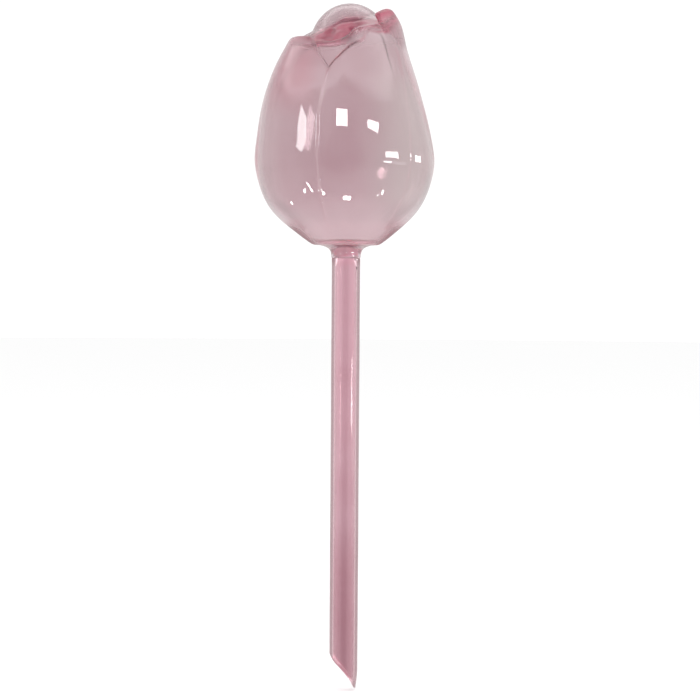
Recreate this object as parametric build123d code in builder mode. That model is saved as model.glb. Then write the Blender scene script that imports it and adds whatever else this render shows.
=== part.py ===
"""Watering globe: a clear tulip-shaped water bulb with a short neck, a soft
grommet pressed into that neck, and a slant-cut feeding stem whose spigot pushes
into the grommet.

Millimetres.  +Z is up, along the stem axis.  The origin is on that axis at the
stem's shoulder, where the neck of the bulb lands: the stem hangs below it
and the bulb stands above it.  The front of the flower faces -Y.
"""
import math
import os

from build123d import *

os.makedirs("parts", exist_ok=True)

# ---------------------------------------------------------------- dimensions
total_height = 240.0          # tip of the stem to the top petal
stem_length = 151.0           # shoulder to tip
stem_r = 5.0                  # outside of the tube
stem_bore_r = 3.7             # inside of the tube
cut_height = 12.6             # length of the slanted cut at the tip
cut_hollow = 0.9              # how far the cut dips in from a straight line

spigot_r = 3.88               # plug at the top of the stem
spigot_bore_r = 3.1
spigot_top = 7.0
spigot_lead = 0.45            # lead-in chamfer

fit_gap = 0.04                # radial running gap, spigot to grommet and grommet to neck
grommet_in_r = spigot_r + fit_gap
grommet_out_r = 4.55
grommet_foot = 0.60           # lower end of the grommet's sleeve
floor_z = 6.0                 # floor of the bulb around the throat
flange_r = 5.75
flange_h = 0.75

neck_bore_r = grommet_out_r + fit_gap
neck_end_z = 0.05             # gap between the neck's end and the stem's shoulder
bulb_r = 31.5                 # widest radius, over the petals
petal_step = 0.9              # how far a petal stands off the core
petal_t = 2.4                 # depth of the petal band into the core
core_top = 83.6               # top of the closed core, between the petals
wall = 1.2                    # wall of the core
top_z = total_height - stem_length

# outline of the flower over the petals, as (height, radius)
outline = [
    (7.7, 15.9), (10.5, 19.3), (13.3, 22.3), (16.1, 25.0), (20.3, 27.8),
    (27.3, 30.4), (34.3, bulb_r), (41.3, 30.9), (48.2, 29.3), (55.2, 27.7),
    (62.2, 25.6), (69.2, 22.9), (76.2, 20.0), (82.0, 17.6), (86.0, 14.9),
    (90.0, 11.4),
]

# ---------------------------------------------------------------- stem
with BuildPart() as stem_tube:
    with BuildSketch(Plane.XZ) as section:
        with BuildLine():
            Polyline(
                (stem_bore_r, -stem_length - 2.0),
                (stem_r, -stem_length - 2.0),
                (stem_r, 0.0),
                (spigot_r, 0.0),
                (spigot_r, spigot_top - spigot_lead),
                (spigot_r - spigot_lead, spigot_top),
                (spigot_bore_r, spigot_top),
                (spigot_bore_r, -1.0),
                (stem_bore_r, -3.0),
                close=True,
            )
        make_face()
    revolve(axis=Axis.Z)
    # slanted, slightly hollow cut: short on the -X side, sharp on the +X side
    with BuildSketch(Plane.XZ) as slant:
        with BuildLine():
            left = (-stem_r - 1.0, -stem_length + cut_height * (1 + 1.0 / (2 * stem_r)))
            right = (stem_r, -stem_length)
            mid = ((left[0] + right[0]) / 2, (left[1] + right[1]) / 2 + cut_hollow)
            ThreePointArc(left, mid, right)
            Polyline(right, (stem_r + 3.0, -stem_length), (stem_r + 3.0, -stem_length - 6.0),
                     (left[0], -stem_length - 6.0), left)
        make_face()
    extrude(amount=stem_r + 2.0, both=True, mode=Mode.SUBTRACT)
stem_tube.part.label = "stem_tube"

# ---------------------------------------------------------------- grommet
with BuildPart() as neck_grommet:
    with BuildSketch(Plane.XZ):
        with BuildLine():
            Polyline(
                (grommet_in_r, grommet_foot),
                (grommet_out_r, grommet_foot),
                (grommet_out_r, floor_z + 0.02),
                (flange_r, floor_z + 0.02),
                (flange_r, floor_z + flange_h),
                (grommet_in_r, floor_z + flange_h),
                close=True,
            )
        make_face()
    revolve(axis=Axis.Z)
    top_rim = neck_grommet.edges().filter_by(GeomType.CIRCLE).group_by(Axis.Z)[-1]
    fillet(top_rim.sort_by(SortBy.RADIUS)[-1], 0.3)
    foot_rim = neck_grommet.edges().filter_by(GeomType.CIRCLE).group_by(Axis.Z)[0]
    chamfer(foot_rim.sort_by(SortBy.RADIUS)[-1], 0.2)
neck_grommet.part.label = "neck_grommet"


# ---------------------------------------------------------------- bulb
def petal(azimuth, drop, half_widths, tip):
    """One petal: a patch of a band under the flower's outline, sunk by drop so that
    it passes behind its neighbour, and cut to a petal shape that is drawn square
    to the direction the petal faces."""
    with BuildPart() as leaf:
        with BuildSketch(Plane.XZ):
            with BuildLine():
                outer = Spline(*[(r - drop, z) for z, r in outline])
                inner = Spline(*[(r - drop - petal_t, z - 0.5) for z, r in reversed(outline)])
                Line(outer @ 1, inner @ 0)
                Line(inner @ 1, outer @ 0)
            make_face()
        revolve(axis=Axis.Z)
        a = math.radians(azimuth)
        facing = Plane(
            origin=(0, 0, 0),
            x_dir=(-math.sin(a), math.cos(a), 0),
            z_dir=(math.cos(a), math.sin(a), 0),
        )
        with BuildSketch(facing):
            with BuildLine():
                right = [(w, z) for z, w, _ in half_widths]
                left = [(-w, z) for z, _, w in half_widths]
                Spline(*right, tip, *reversed(left))
                Line(left[0], right[0])
            make_face()
        extrude(amount=60.0, mode=Mode.INTERSECT)
    return leaf.part


# each petal: where it faces, how far it is sunk, heights with the half widths on
# its two sides, then its tip
front_petal = petal(
    -77, 0.0,
    [(9.0, 5.0, 5.0), (18.0, 12.0, 12.5), (34.0, 15.5, 16.0), (52.0, 16.0, 15.5),
     (64.0, 15.3, 12.5), (70.0, 14.4, 10.0), (76.0, 12.3, 6.0)],
    (5.0, 81.6),
)
left_petal = petal(
    208, -0.75,
    [(9.0, 6.0, 6.0), (18.0, 15.0, 15.0), (34.0, 21.0, 21.0), (52.0, 21.0, 20.0),
     (66.0, 17.0, 15.0), (71.5, 12.0, 10.5), (75.5, 7.5, 6.5)],
    (1.0, 77.2),
)
right_petal = petal(
    8, 0.40,
    [(9.0, 6.0, 6.0), (18.0, 15.0, 15.0), (34.0, 21.0, 21.0), (52.0, 20.0, 20.0),
     (68.0, 13.5, 13.0), (78.0, 8.5, 8.0), (83.5, 5.0, 4.5)],
    (0.0, 86.5),
)
back_petal = petal(
    100, 0.15,
    [(9.0, 6.0, 6.0), (18.0, 15.0, 15.0), (34.0, 22.0, 22.0), (52.0, 21.0, 21.0),
     (70.0, 17.0, 17.0), (77.6, 14.5, 14.5), (83.2, 11.0, 11.0), (86.4, 7.6, 7.6)],
    (0.0, top_z),
)
inner_petal = petal(
    -113, 2.1,
    [(40.0, 9.0, 9.0), (56.0, 11.0, 11.0), (68.0, 10.0, 10.0), (74.0, 7.0, 7.0)],
    (0.0, 76.0),
)

with BuildPart() as tulip_bulb:
    core = [(r - petal_step, z) for z, r in outline[:-5]]
    with BuildSketch(Plane.XZ):
        with BuildLine():
            Polyline((0.0, neck_end_z), (5.15, neck_end_z), (5.25, 2.0))
            Spline(
                (5.25, 2.0), (5.75, 2.95), (7.4, 3.85), (10.4, 4.75), (13.0, 6.1),
                *core, (20.6, 69.0), (14.9, 76.8), (7.9, 82.0), (0.0, core_top),
            )
            Line((0.0, core_top), (0.0, neck_end_z))
        make_face()
    revolve(axis=Axis.Z)
    add(left_petal)
    add(right_petal)
    add(back_petal)
    add(inner_petal)
    add(front_petal)
    # water space
    with BuildSketch(Plane.XZ):
        with BuildLine():
            inner = [(r - wall, z + 0.1) for r, z in core[1:]]
            Line((0.0, floor_z), (7.2, floor_z))
            Spline(
                (7.2, floor_z), (13.2, 8.1), *inner, (19.2, 68.4), (13.6, 75.6), (7.1, 80.6),
                (0.0, core_top - wall),
            )
            Line((0.0, core_top - wall), (0.0, floor_z))
        make_face()
    revolve(axis=Axis.Z, mode=Mode.SUBTRACT)
    # throat that takes the grommet
    with BuildSketch(Plane.XY):
        Circle(neck_bore_r)
    extrude(amount=floor_z + 1.0, mode=Mode.SUBTRACT)
tulip_bulb.part.label = "tulip_bulb"

# ---------------------------------------------------------------- hand-over
for piece in (stem_tube, neck_grommet, tulip_bulb):
    export_step(piece.part, f"parts/{piece.part.label}.step")
    box = piece.part.bounding_box()
    print(piece.part.label, "solids", len(piece.part.solids()), "valid", piece.part.is_valid,
          "volume", round(piece.part.volume, 1), "low", box.min, "high", box.max)
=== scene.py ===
import json
import math

import bmesh
import bpy
import numpy as np
from mathutils import Matrix, Vector


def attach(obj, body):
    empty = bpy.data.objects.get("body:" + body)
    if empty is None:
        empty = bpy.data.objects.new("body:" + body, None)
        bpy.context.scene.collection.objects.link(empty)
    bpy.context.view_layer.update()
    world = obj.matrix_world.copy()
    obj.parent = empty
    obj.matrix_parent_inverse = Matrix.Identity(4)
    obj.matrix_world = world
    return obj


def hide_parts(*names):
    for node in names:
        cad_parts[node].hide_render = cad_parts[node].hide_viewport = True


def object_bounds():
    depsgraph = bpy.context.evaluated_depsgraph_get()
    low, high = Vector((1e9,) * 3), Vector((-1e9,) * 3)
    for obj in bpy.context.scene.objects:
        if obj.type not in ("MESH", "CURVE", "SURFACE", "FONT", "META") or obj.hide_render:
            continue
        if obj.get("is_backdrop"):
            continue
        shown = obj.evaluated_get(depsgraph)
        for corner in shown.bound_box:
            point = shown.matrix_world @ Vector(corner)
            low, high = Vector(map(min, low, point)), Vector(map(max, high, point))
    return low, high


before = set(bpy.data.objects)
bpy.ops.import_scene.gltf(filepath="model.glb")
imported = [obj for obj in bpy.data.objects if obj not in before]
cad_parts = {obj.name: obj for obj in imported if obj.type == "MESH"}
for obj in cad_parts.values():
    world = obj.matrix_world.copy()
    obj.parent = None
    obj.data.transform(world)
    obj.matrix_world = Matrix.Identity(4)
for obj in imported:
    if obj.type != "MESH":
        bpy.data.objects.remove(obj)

cad_lo, cad_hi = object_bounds()
MM = 0.001

# =====================================================================
# small numeric helpers (all shape work below is in millimetres)
# =====================================================================


def smoothstep(a, b, x):
    t = np.clip((x - a) / (b - a), 0.0, 1.0)
    return t * t * (3.0 - 2.0 * t)


def smin(a, b, k):
    """Smallest of two fields with a fillet of about k between them."""
    h = np.clip(0.5 + 0.5 * (b - a) / k, 0.0, 1.0)
    return b + (a - b) * h - k * h * (1.0 - h)


def smax(a, b, k):
    return -smin(-a, -b, k)


def natural(x, y):
    """Natural cubic spline through the knots, as a function."""
    x, y = np.asarray(x, float), np.asarray(y, float)
    n, h = len(x), np.diff(x)
    a = np.zeros((n, n))
    b = np.zeros(n)
    a[0, 0] = a[-1, -1] = 1.0
    for i in range(1, n - 1):
        a[i, i - 1], a[i, i], a[i, i + 1] = h[i - 1], 2 * (h[i - 1] + h[i]), h[i]
        b[i] = 6 * ((y[i + 1] - y[i]) / h[i] - (y[i] - y[i - 1]) / h[i - 1])
    m = np.linalg.solve(a, b)

    def f(v):
        v = np.clip(v, x[0], x[-1])
        i = np.clip(np.searchsorted(x, v) - 1, 0, n - 2)
        u, w = x[i + 1] - v, v - x[i]
        return (
            (m[i] * u**3 + m[i + 1] * w**3) / (6 * h[i])
            + (y[i] / h[i] - m[i] * h[i] / 6) * u
            + (y[i + 1] / h[i] - m[i + 1] * h[i] / 6) * w
        )

    return f


def table(knots, n=3000, smooth=True):
    """Look-up through (x, y) knots: a cubic spline, or straight runs where it must not swing."""
    k = np.array(knots, float)
    xs = np.linspace(k[0, 0], k[-1, 0], n)
    ys = natural(k[:, 0], k[:, 1])(xs) if smooth else np.interp(xs, k[:, 0], k[:, 1])
    if not smooth:  # rounds the corners of the straight runs
        w = max(3, n // 25)
        pad = np.concatenate([np.full(w, ys[0]), ys, np.full(w, ys[-1])])
        kern = np.hanning(2 * w + 1)
        ys = np.convolve(pad, kern / kern.sum(), "valid")
    return lambda v: np.interp(v, xs, ys)


# =====================================================================
# the tulip bulb: outer skin
# =====================================================================
# radius over the petals against height
ENV = [
    (4.2, 7.7), (4.9, 10.3), (6.3, 13.4), (9.1, 17.2), (13.3, 22.3), (16.1, 25.0), (20.3, 27.8),
    (27.3, 30.4), (33.5, 31.4), (41.3, 30.6), (48.2, 29.36), (55.2, 27.68), (62.2, 25.52), (69.2, 22.8),
    (74.0, 20.9), (79.0, 18.9), (82.5, 17.3), (85.0, 15.8), (87.0, 14.2), (90.0, 11.2),
]
env = table(ENV)
_z = np.linspace(4.2, 90.0, 3000)
_s = np.gradient(env(_z), _z)
env_cos = lambda z: np.interp(z, _z, 1.0 / np.sqrt(1.0 + _s * _s))
# the flower sits a little to the left of the stem
shift = table([(-2, 0), (6, 0.1), (14, 0.55), (24, 0.62), (34, 0.68), (42, 0.9), (50, 1.3), (57, 1.5),
               (63, 1.35), (69, 0.95), (74, 0.45), (79, 0.05), (92, 0.0)])

# closed core under the petals, in polar form about (0, 40)
CORE = [
    (0.0, 3.2), (4.0, 3.4), (7.6, 4.0), (10.2, 4.85), (13.4, 6.3), (17.1, 9.1), (21.9, 13.3), (24.4, 16.1),
    (27.0, 20.3), (29.5, 27.3), (30.5, 33.5), (29.7, 41.3), (28.46, 48.2), (26.78, 55.2), (24.42, 62.2),
    (20.4, 69.2), (14.6, 76.4), (7.8, 81.0), (0.0, 82.6),
]
ZC = 40.0
_c = np.array(CORE)
_al = np.degrees(np.arctan2(_c[:, 1] - ZC, _c[:, 0]))
_ra = np.hypot(_c[:, 0], _c[:, 1] - ZC)
_al = np.concatenate([-180 - _al[3:0:-1], _al, 180 - _al[-2:-5:-1]])
_ra = np.concatenate([_ra[3:0:-1], _ra, _ra[-2:-5:-1]])
_A = np.linspace(-90.0, 90.0, 4000)
_R = natural(_al, _ra)(_A)
_slope = np.gradient(_R, np.radians(_A)) / _R
_C = 1.0 / np.sqrt(1.0 + _slope**2)


def plate(a, e, h):
    """Curved plate of half thickness h with a round rim: a is the distance from its middle, e the distance in from its rim."""
    q = np.maximum(h - e, 0.0)
    return np.sqrt(a * a + q * q) - h


def soft_least(k, *fields):
    out = fields[0]
    for f in fields[1:]:
        out = smin(out, f, k)
    return out


# rims of the petals: bearing in degrees (0 is the front, right is positive) against height, or height against bearing
F_L = table([(4, -16), (34, -17.5), (49, -16.8), (58.5, -13.6), (65, -11.9), (71, -10.5), (82, -9)], smooth=False)
F_T = table([(-20, 59.0), (-11.9, 64.7), (-7.5, 67.2), (-2, 69.7), (5.4, 72.5), (10.8, 73.6), (15.5, 74.3), (19, 75.6), (24, 81.0), (60, 84.0)], smooth=False)
F_R = table([(4, 44), (38, 47), (55, 52), (64, 54.5), (69, 55.5), (74, 55), (78.7, 51.5), (81.2, 45), (83, 40)], smooth=False)
G_L = table([(56, -3), (70, -3.2), (74.1, -4.6), (84, -5.5)], smooth=False)
G_T = table([(-12, 71.6), (-4.6, 74.4), (1.9, 76.2), (6.1, 78.0), (12.6, 79.1), (20, 79.7), (34, 80.4), (44, 80.3), (50, 79.0), (58, 74.5)], smooth=False)
L_R = table([(4, 2), (40, -3), (56.5, -7), (64.7, -13), (65.3, -14), (68.9, -23), (73.6, -32.6), (76.6, -41)], smooth=False)
L_L = table([(4, -132), (40, -128), (60, -120), (69, -107), (74, -93), (77, -76)], smooth=False)
R_L = table([(4, 36), (40, 40), (60, 41), (75, 39.5), (81.5, 37), (84.3, 34.5), (88, 33)], smooth=False)
R_R = table([(4, 154), (40, 150), (60, 144), (70, 134), (78, 120), (83, 106), (86.6, 90)], smooth=False)
R_T = table([(20, 82.6), (34, 83.9), (50, 85.4), (68, 86.3), (84, 86.2), (100, 84.6), (120, 81.0), (150, 75)])
B_L = table([(4, 126), (40, 124), (60, 128), (76, 134), (84, 140)], smooth=False)
B_R = table([(4, 252), (40, 254), (60, 248), (70, 240), (76, 226), (80, 217), (84, 212)], smooth=False)
I1_T = table([(-60, 73.2), (-48, 74.0), (-36, 74.7), (-26, 74.4), (-16, 74.0), (-6, 75.0), (6, 75.8), (20, 76.2)])
# front rim of the hood: elevation against bearing, both in degrees about the hood's centre
HOOD_C, HOOD_A = (0.9, 3.0, 73.8), (14.0, 17.0, 14.95)
HOOD_RIM = table([(-180, -40), (-110, -25), (-85, -8), (-65, 6.9), (-51, 15.1), (-34.5, 21.6), (-24.5, 24.8), (-18.5, 32.5), (-8.9, 34.9),
                  (1.6, 35.6), (10.6, 36.4), (28.4, 33.5), (48, 29.7), (70, 21), (90, 8), (120, -12), (180, -40)], smooth=False)


# how high the wall is filled behind the rims, against bearing
FILL = table([(-180, 84), (-150, 82), (-125, 78.2), (-108, 76.2), (-90, 75.9), (-60, 75.9), (-48, 74.9), (-36, 73.7), (-14, 73.3), (-4, 73.7),
              (2, 75.0), (6, 76.4), (13, 78.0), (20, 78.9), (28, 79.4), (42, 79.4), (52, 80.2), (62, 82.4), (85, 82.9), (105, 81.7), (140, 80.4), (160, 82.5), (180, 84)], smooth=False)
CLIMB = table([(-180, 0.4), (-130, 0.35), (-112, 0.15), (-30, 0.15), (-4, 0.2), (11, 0.25), (28, 0.55), (48, 0.55), (64, 0.3), (105, 0.32), (140, 0.42), (180, 0.4)], smooth=False)


def bulge(b, z):
    """The front petal is rounder up and down than the others."""
    return (0.35 * np.exp(-(((z - 50) / 13) ** 2)) - 0.22 * np.exp(-(((z - 33) / 7) ** 2))) * smoothstep(-22, -2, b) * (1.0 - smoothstep(36, 56, b))


# folds between the hood and the rims: centre, half sizes, and how far each is turned up to the right
FOLDS = [((-9.3, -11.2, 75.2), (3.6, 3.0, 2.0), 24), ((-5.9, -12.0, 76.7), (2.6, 2.6, 2.3), 50), ((0.3, -12.3, 79.1), (4.6, 2.4, 1.9), 8),
         ((5.4, -11.4, 79.8), (3.2, 2.6, 1.8), -12), ((-2.2, -14.0, 75.9), (3.4, 2.2, 2.2), 35), ((-6.6, -13.6, 75.0), (4.8, 2.2, 1.5), 4)]


def slant(t, span, mm):
    """Foreshortening of a height above a rim that climbs: turns it into the distance from the rim."""
    b = np.linspace(span[0], span[1], 600)
    g = np.gradient(t(b), b) / mm
    return lambda v: np.interp(v, b, 1.0 / np.sqrt(1.0 + g * g))


F_TS, G_TS = slant(F_T, (-20, 60), 0.38), slant(G_T, (-12, 58), 0.33)


def place(p):
    """Where points lie in the flower: the quantities that every petal is drawn from."""
    x, y, z = p[:, 0], p[:, 1], p[:, 2]
    xs = x + shift(z)
    q = {"x": x, "y": y, "z": z, "r": np.hypot(xs, y), "b": np.degrees(np.arctan2(xs, -y)), "re": env(z), "cg": env_cos(z)}
    swell = bulge(q["b"], z)
    q["re"] = q["re"] + swell
    q["arc"] = np.radians(1.0) * q["re"]  # millimetres for each degree of bearing
    hx, hy, hz = (x - HOOD_C[0]) / HOOD_A[0], (y - HOOD_C[1]) / HOOD_A[1], (z - HOOD_C[2]) / HOOD_A[2]
    k0 = np.sqrt(hx * hx + hy * hy + hz * hz) + 1e-6
    k1 = np.sqrt((hx / HOOD_A[0]) ** 2 + (hy / HOOD_A[1]) ** 2 + (hz / HOOD_A[2]) ** 2) + 1e-6
    q["hood"] = k0 * (k0 - 1.0) / k1
    q["hb"] = np.degrees(np.arctan2(hx, -hy))
    q["he"] = np.degrees(np.arctan2(hz, np.hypot(hx, hy)))
    rho, al = np.hypot(q["r"], z - ZC), np.degrees(np.arctan2(z - ZC, q["r"]))
    q["core"] = (rho - np.interp(al, _A, _R)) * np.interp(al, _A, _C) - swell * q["cg"]
    q["ef"], q["eg"] = front_rims(q)
    # the notch between left and front petal, where the wall lies deeper
    open_to = (1.0 - smoothstep(-0.7, 0.8, q["ef"])) * (1.0 - smoothstep(-0.7, 0.8, (L_R(z) - q["b"]) * q["arc"]))
    vee = open_to * smoothstep(-60, -48, q["b"]) * (1.0 - smoothstep(-1, 17, q["b"])) * smoothstep(59.5, 64.5, z)
    low = 1.3 * (1.0 - smoothstep(46, 60, z))
    top = (z - FILL(q["b"]) - CLIMB(q["b"]) * np.clip(q["re"] - q["r"], 0, 9)) * 0.88
    q["inner"] = smax((q["r"] - q["re"]) * q["cg"] + 0.62 + 0.53 * smoothstep(6, 11, z) + 1.2 * vee, top + 0.75, 2.2)
    q["core"] = smin(q["core"], smax((q["r"] - (q["re"] - 0.62 - 1.0 * vee - low)) * q["cg"], np.maximum(top, 45 - z), 1.8), 0.6)
    return q


def front_rims(q):
    """Distances in from the rims of the front petal and of the lip that stands behind its upper edge."""
    b, z, arc, cg = q["b"], q["z"], q["arc"], q["cg"]
    foot = np.minimum(q["r"] - 9.2, (z - 4.3) * 2.5)
    er = (F_R(z) - b) * arc
    ef = soft_least(1.0, (b - F_L(z)) * arc, er, (F_T(b) - z) * F_TS(b) / cg, (G_T(b) - z) * G_TS(b) / cg, foot)
    eg = soft_least(0.9, (b - G_L(z)) * arc, (28 - b) * arc, (G_T(b) - z) * G_TS(b) / cg, z - 63)
    return ef, eg


def skin(p):
    """Signed field of the bulb's outside: negative in the plastic or in the water space, zero on the skin."""
    q = place(p)
    x, y, z, r, b, re, cg, arc = (q[k] for k in ("x", "y", "z", "r", "b", "re", "cg", "arc"))
    # slow unevenness of a blown wall
    wob = 0.06 * np.sin(np.radians(b) * 5 + 0.11 * z) + 0.035 * np.sin(np.radians(b) * 3 - 0.17 * z + 1.3)
    wob = wob * smoothstep(8, 20, z)

    # core, neck, and the bud inside the hood
    neck = np.maximum(np.maximum(np.hypot(x, y) - (5.13 + 0.05 * np.clip(z, 0, 4)), 0.05 - z), z - 8.0)
    d = smin(q["core"], neck, 2.6)
    d = smin(d, np.maximum(q["hood"] + 1.3, 60 - z), 1.0)

    def leaf(drop, h, e, bow=0.0):
        return plate((r - (re + wob + bow - drop - h)) * cg, e, h)

    grown = smoothstep(12, 34, z)  # the steps between the petals grow up from the foot
    foot = np.minimum(r - 9.2, (z - 4.3) * 2.5)  # petals run out into the foot of the bulb
    # back petal, which runs up into the hood
    b360 = np.where(b < 0, b + 360, b)
    e = soft_least(2.5, (b360 - B_L(z)) * arc, (B_R(z) - b360) * arc, (84.0 - z) / cg, foot)
    rib = 0.2 * np.exp(-(((b360 - 204) * arc) / 3.5) ** 2)
    d = smin(d, leaf(0.25, 0.75, e, rib * smoothstep(12, 30, z)), 0.5)

    # hood: the closed top of the bud, leaning forward over the crevice
    e = (q["he"] - HOOD_RIM(q["hb"])) * np.radians(1.0) * 15.0
    d = smin(d, plate(q["hood"] + 0.75, e, 0.75), 0.4)

    # folds in the crevice, and the inner petal in the notch
    for c, size, turn in FOLDS:
        t = math.radians(turn)
        u, v, w = x - c[0], y - c[1], z - c[2]
        u, w = u * math.cos(t) + w * math.sin(t), w * math.cos(t) - u * math.sin(t)
        k0 = np.sqrt((u / size[0]) ** 2 + (v / size[1]) ** 2 + (w / size[2]) ** 2) + 1e-6
        k1 = np.sqrt((u / size[0] ** 2) ** 2 + (v / size[1] ** 2) ** 2 + (w / size[2] ** 2) ** 2) + 1e-6
        d = smin(d, k0 * (k0 - 1.0) / k1, 1.0)
    e = soft_least(1.2, (b + 58) * arc * 0.8, (22 - b) * arc * 0.8, (I1_T(b) - z), z - 64)
    d = smin(d, plate((r - (re - 2.3)) * cg, e, 0.75), 1.3)

    # right petal, with a thicker rim at its tip
    rt = R_T(b) - z
    e = soft_least(1.4, (b - R_L(z)) * arc, (R_R(z) - b) * arc, rt / cg, foot)
    tuck = 0.12 * (1.0 - smoothstep(40, 75, b)) * smoothstep(9, 30, z)
    rib = 0.2 * np.exp(-(((b - 116) * arc) / 3.5) ** 2)
    bow = rib * smoothstep(12, 30, z) + 0.75 * smoothstep(72, 82, z)
    sink = 0.5 * (1.0 - smoothstep(0, 10, (R_R(z) - b) * arc))
    d = smin(d, leaf(tuck + 0.05 * grown + sink, 0.75 + 0.25 * smoothstep(80, 84, z), e, bow), 0.04 + 0.41 * grown)

    # left petal
    e = soft_least(1.6, (L_R(z) - b) * arc, (b - L_L(z)) * arc, (76.2 - z) / cg, foot)
    tuck = 0.6 * smoothstep(-45, -14, b) * smoothstep(9, 30, z)
    rib = 0.2 * np.exp(-(((b + 62) * arc) / 3.5) ** 2)
    sink = 0.5 * (1.0 - smoothstep(0, 10, (b - L_L(z)) * arc))
    d = smin(d, leaf(tuck + sink, 0.75, e, rib * smoothstep(12, 30, z)), 0.04 + 0.41 * grown + 0.9 * smoothstep(60, 66, z))

    # front petal, and the lip behind its upper edge
    ef, eg = q["ef"], q["eg"]
    drop = 1.6 * (1.0 - smoothstep(-1, 19, b)) + 0.8 * (1.0 - smoothstep(60, 71, z))
    d = smin(d, leaf(drop, 0.75, eg, 0.45 * np.exp(-((eg / 1.3) ** 2)) * (1.0 - smoothstep(8, 20, b))), 0.25 + 0.6 * smoothstep(71, 74, z))
    d = smin(d, leaf(-0.22 * smoothstep(14, 36, b) * smoothstep(40, 54, z), 0.78, ef), 0.04 + 0.21 * grown + 0.7 * grown * (1.0 - smoothstep(-11, -4, b)) * (1.0 - smoothstep(57, 63, z)))
    return d


def water(p):
    """Signed field of the water space, with a flat floor round the throat."""
    q = place(p)
    z = q["z"]
    cap = q["hood"] + 2.2 - 1.05 * smoothstep(2, 10, q["he"] - HOOD_RIM(q["hb"]))
    d = smin(q["inner"], np.maximum(cap, 62 - z), 1.5)
    seat = 6.0 - 0.9 * smoothstep(6.0, 7.6, np.hypot(q["x"], q["y"]))
    return smax(d, seat - z, 0.7)


def blot(x, z, cx, cz, wide, high, tilt):
    """Soft-edged oval patch, seen from the front."""
    c, t = math.cos(math.radians(tilt)), math.sin(math.radians(tilt))
    u, v = ((x - cx) * c + (z - cz) * t) / wide, ((z - cz) * c - (x - cx) * t) / high
    return 1.0 - smoothstep(0.55, 1.15, np.hypot(u, v))


def limb(b):
    """Weight for the foot's band of painted shade, which shows only at the two sides of the flower."""
    return 0.04 + 0.96 * smoothstep(0.78, 0.93, np.abs(np.sin(np.radians(b))))


def tint(p):
    """How much deeper the pink shows, 0 to 1: deeper tint on the right tip's rim, the lip, the crown's left top, along
    the hood's front rim and low round the throat and neck; in the folds partly deeper tint and partly painted shade;
    painted shade along the front petal's rim, along the foot at the two sides and on the upper left.
    """
    q = place(p)
    x, z, r, b, re, cg = q["x"], q["z"], q["r"], q["b"], q["re"], q["cg"]
    depth = (re - r) * cg
    front = smoothstep(-78, -60, b) * (1.0 - smoothstep(44, 58, b))
    over = q["he"] - HOOD_RIM(q["hb"])
    rim = np.where(b < -38, 75.4, np.where(b < -4, 73.9, G_T(b) - 0.2))
    # partly painted shade: the crevice's folds turn deeper pink the further they lie below the petals, for the tint of
    # stacked plastic and for shade in the recess
    patch = 0.72 + 0.28 * np.maximum(blot(x, z, -9.2, 75.7, 3.4, 1.7, 22), blot(x, z, -6.6, 77.8, 2.2, 1.2, 35))
    patch = np.maximum(patch, 0.8 * blot(x, z, 0.2, 79.9, 4.2, 0.9, 4)) - 0.3 * blot(x, z, -4.6, 77.2, 0.9, 2.4, -20)
    fold = patch * smoothstep(0.8, 2.0, depth) * smoothstep(-0.5, 0.6, z - rim) * front * (1.0 - smoothstep(-2, 6, over))
    brim = 0.42 * (1.0 - smoothstep(0, 12, over)) * smoothstep(-6, 0, over) * smoothstep(-45, 35, q["hb"]) * (1.0 - smoothstep(50, 95, q["hb"]))
    tip = (1.0 - smoothstep(1.0, 5.0, R_T(b) - z)) * smoothstep(30, 38, b) * (1.0 - smoothstep(125, 150, b)) * smoothstep(79, 82, z) * (1.0 - smoothstep(2.8, 4.2, depth))
    # painted shade: a darker pink band along the foot, only at the two sides where the outline runs
    foot = smoothstep(3.4, 4.8, z) * (1.0 - smoothstep(9.0, 13.5, z)) * smoothstep(8.0, 11.0, r) * limb(b)
    mouth = 0.9 * smoothstep(4.9, 5.8, z) * (1.0 - smoothstep(6.3, 7.2, z)) * (1.0 - smoothstep(5.8, 8.0, r))
    under = 0.5 * (1.0 - smoothstep(5.4, 6.6, z)) * smoothstep(5.8, 7.0, r)
    crown = 0.3 * smoothstep(72.3, 75.0, z) * smoothstep(-112, -96, b) * (1.0 - smoothstep(-40, -26, b)) * (1.0 - smoothstep(2.5, 5.0, depth))
    lip = 0.38 * (1.0 - smoothstep(0.6, 3.2, G_T(b) - z)) * smoothstep(-5, 6, b) * (1.0 - smoothstep(42, 56, b)) * (1.0 - smoothstep(3.0, 5.0, depth)) * smoothstep(72, 74, z)
    ef = q["ef"]
    # painted shade: deeper pink on the upper left side
    left_side_shade = 0.2 * smoothstep(46, 68, z) * smoothstep(6, 20, -x)
    # painted shade: deeper pink along the front petal's rim, in the crease
    crease = np.exp(-(((ef + 0.15) / 0.42) ** 2)) * (0.08 + 0.3 * smoothstep(60, 68, z)) * (1.0 - smoothstep(16, 24, b) * smoothstep(70, 74, z))
    return np.clip(np.maximum.reduce([fold, brim, tip, foot * 0.9, under, mouth, crown, lip, crease, left_side_shade]), 0.0, 1.0)


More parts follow.
